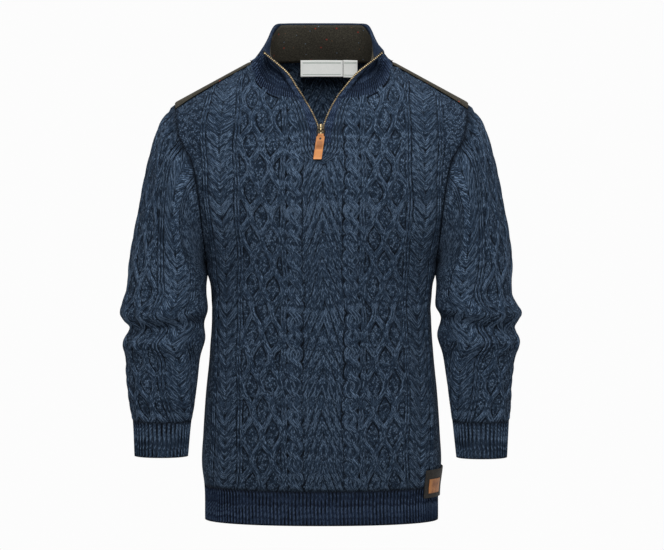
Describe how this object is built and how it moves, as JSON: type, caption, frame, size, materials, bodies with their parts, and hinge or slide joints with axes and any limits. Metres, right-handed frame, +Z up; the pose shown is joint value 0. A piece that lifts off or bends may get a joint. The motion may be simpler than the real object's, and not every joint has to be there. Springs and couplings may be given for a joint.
{
  "type": "wool sweater",
  "caption": "Cabled wool sweater with a ribbed stand collar, tweed lining and a zip open at the neck, filled out as worn with nobody in it.",
  "frame": {"origin": "midway between the two neck points of the shoulder seams, where shoulders hold the sweater up", "axes": "+Z up, -Y out of the front, +X to the right as seen from the front (the wearer's left)"},
  "size_m": [0.606, 0.2518, 0.749],
  "materials": {
    "cable_knit": "matte navy marl wool, cable knit",
    "rib_knit": "matte navy marl wool, ribbed",
    "tweed": "dark brown flecked tweed",
    "zip_brass": "antique, dull",
    "zip_tape": "woven, dark",
    "leather": "tan, smooth",
    "white_label": "satin woven, white",
    "black_label": "woven, black"
  },
  "bodies": {
    "sweater": {"front": "cable_knit", "back": "cable_knit", "hem_rib_front": "rib_knit", "hem_rib_back": "rib_knit", "sleeve_left": "cable_knit", "sleeve_right": "cable_knit", "cuff_left": "rib_knit", "cuff_right": "rib_knit", "collar": "rib_knit", "collar_lining": "tweed", "shoulder_patch_left": "tweed", "shoulder_patch_right": "tweed", "zip_band_left": "rib_knit", "zip_band_right": "rib_knit", "zip_tape_left": "zip_tape", "zip_tape_right": "zip_tape", "zip_chain_left": "zip_brass", "zip_chain_right": "zip_brass", "zip_slider": "zip_brass", "neck_label": "white_label", "size_label": "white_label", "side_label": "black_label", "side_label_leather": "leather"},
    "puller": {"pull_link": "zip_brass", "leather_tab": "leather"}
  },
  "joints": [
    {"name": "pull_hinge", "type": "hinge", "parent": "sweater", "child": "puller", "pos_m": [-0.001, -0.11806, -0.09205], "axis": [-1, 0, 0], "range_deg": [0, 150]}
  ]
}
